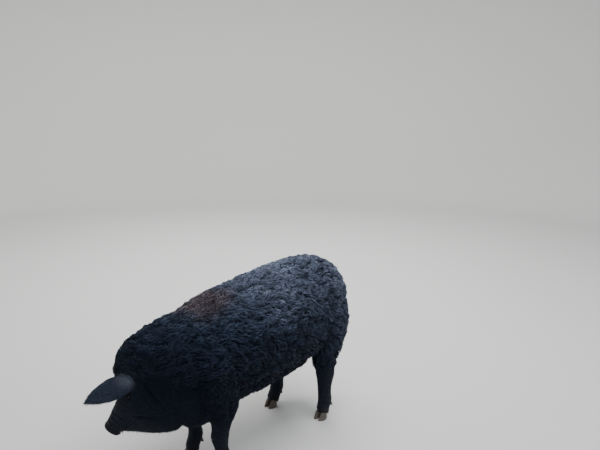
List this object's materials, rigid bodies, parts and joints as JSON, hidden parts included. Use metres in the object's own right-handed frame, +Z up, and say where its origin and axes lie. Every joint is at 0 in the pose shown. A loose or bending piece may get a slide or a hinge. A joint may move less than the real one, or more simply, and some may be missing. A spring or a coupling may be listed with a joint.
{
  "type": "domestic pig",
  "caption": "Life-size standing pig with a curly black coat, its head lowered and turned to one side.",
  "frame": {"origin": "middle of the footprint's bounding box, on the floor under the standing animal", "axes": "+X forward along the trunk, +Y to the animal's left, +Z up"},
  "size_m": [1.5068, 0.534, 0.8453],
  "materials": {
    "coat": "curly black hair with a blue-grey sheen",
    "face": "dark skin under short flat hair",
    "leg": "dark skin under short hair, dusty near the ground",
    "ear": "thin blue-grey skin with short hair",
    "snout": "moist dark skin with a trace of soil",
    "eye": "wet, glossy, dark brown",
    "horn": "dull grey-brown horn"
  },
  "bodies": {
    "root": {"torso": "coat", "neck": "coat", "head": "face", "snout": "snout", "ear_left": "ear", "ear_right": "ear", "eye_left": "eye", "eye_right": "eye", "tail": "coat", "foreleg_left": "leg", "foreleg_right": "leg", "hindleg_left": "leg", "hindleg_right": "leg", "fore_left_claw_outer": "horn", "fore_left_claw_inner": "horn", "fore_left_dewclaw_outer": "horn", "fore_left_dewclaw_inner": "horn", "fore_right_claw_outer": "horn", "fore_right_claw_inner": "horn", "fore_right_dewclaw_outer": "horn", "fore_right_dewclaw_inner": "horn", "hind_left_claw_outer": "horn", "hind_left_claw_inner": "horn", "hind_left_dewclaw_outer": "horn", "hind_left_dewclaw_inner": "horn", "hind_right_claw_outer": "horn", "hind_right_claw_inner": "horn", "hind_right_dewclaw_outer": "horn", "hind_right_dewclaw_inner": "horn"}
  },
  "joints": []
}
